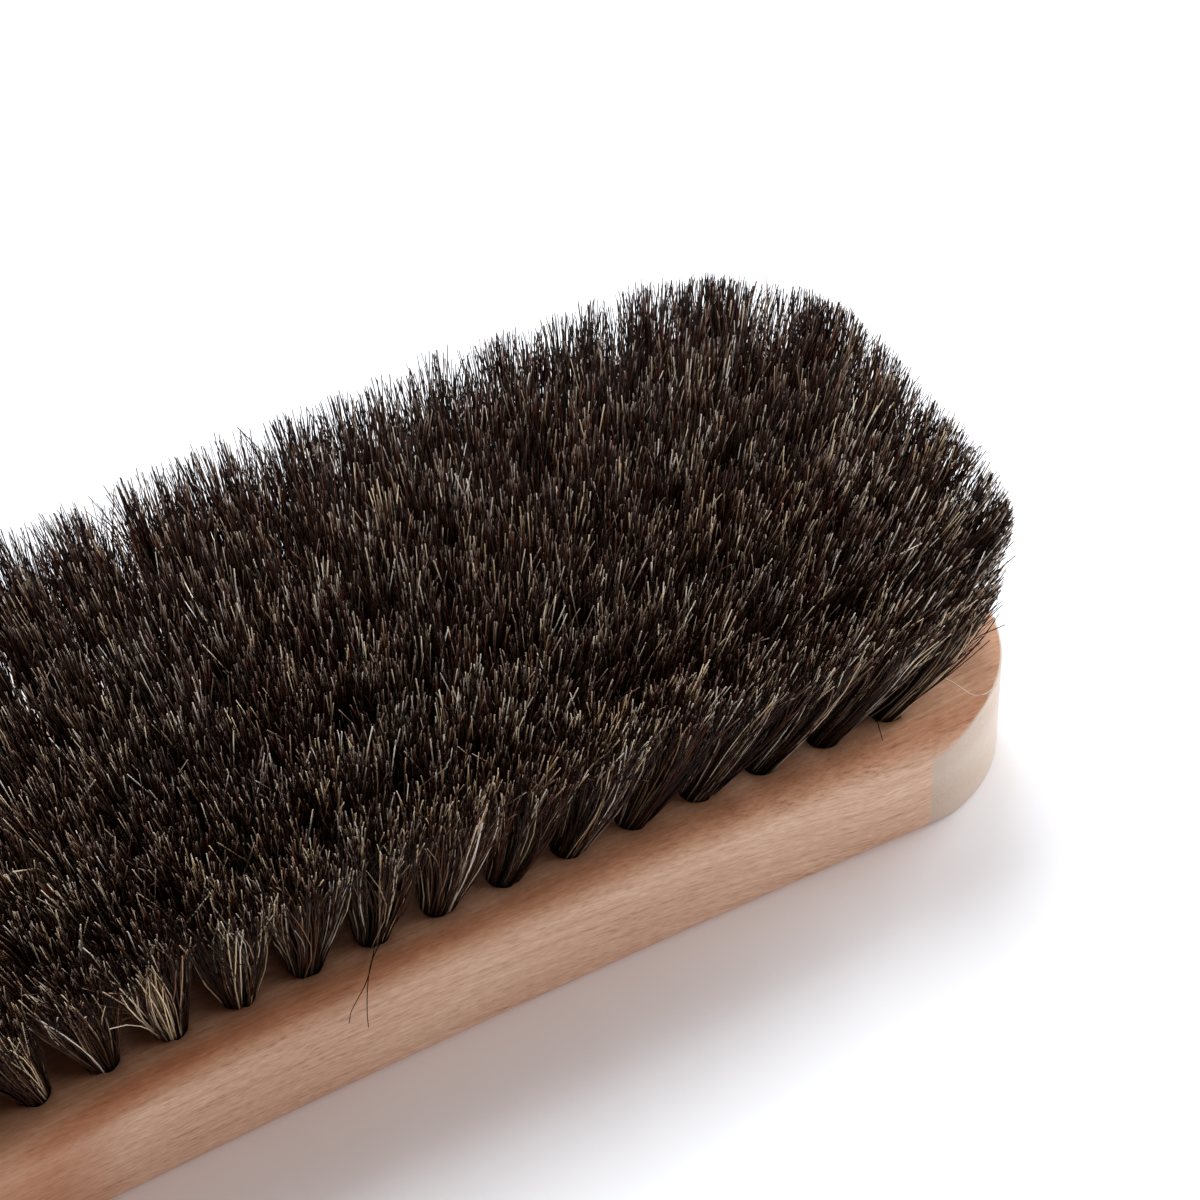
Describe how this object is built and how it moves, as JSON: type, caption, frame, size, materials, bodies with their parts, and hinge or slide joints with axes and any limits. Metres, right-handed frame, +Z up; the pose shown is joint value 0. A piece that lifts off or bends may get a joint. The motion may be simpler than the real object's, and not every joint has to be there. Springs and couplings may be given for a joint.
{
  "type": "shoe shine brush",
  "caption": "Hand brush for shining shoes: a flat, slightly waisted wooden stock with round corners carries fanned rows of trimmed dark horsehair tufts, each wired into a blind hole.",
  "frame": {"origin": "middle of the stock's flat back face, on the surface the brush lies on", "axes": "+X along the brush, +Y across it, +Z up from the flat back towards the bristle tips"},
  "size_m": [0.1685, 0.0618, 0.0399],
  "materials": {
    "beech": "sanded, unvarnished",
    "horsehair": "dark brown to black hair with tan, red-brown and grey strands",
    "wire": "bright drawn flat wire"
  },
  "bodies": {
    "root": {"stock": "beech", "tuft_row_01": "horsehair", "tuft_row_02": "horsehair", "tuft_row_03": "horsehair", "tuft_row_04": "horsehair", "tuft_row_05": "horsehair", "tuft_row_06": "horsehair", "tuft_row_07": "horsehair", "tuft_row_08": "horsehair", "tuft_row_09": "horsehair", "tuft_row_10": "horsehair", "tuft_row_11": "horsehair", "tuft_row_12": "horsehair", "tuft_row_13": "horsehair", "tuft_row_14": "horsehair", "tuft_row_15": "horsehair", "tuft_row_16": "horsehair", "tuft_row_17": "horsehair", "tuft_row_18": "horsehair", "tuft_row_19": "horsehair", "anchor_row_01": "wire", "anchor_row_02": "wire", "anchor_row_03": "wire", "anchor_row_04": "wire", "anchor_row_05": "wire", "anchor_row_06": "wire", "anchor_row_07": "wire", "anchor_row_08": "wire", "anchor_row_09": "wire", "anchor_row_10": "wire", "anchor_row_11": "wire", "anchor_row_12": "wire", "anchor_row_13": "wire", "anchor_row_14": "wire", "anchor_row_15": "wire", "anchor_row_16": "wire", "anchor_row_17": "wire", "anchor_row_18": "wire", "anchor_row_19": "wire"}
  },
  "joints": []
}
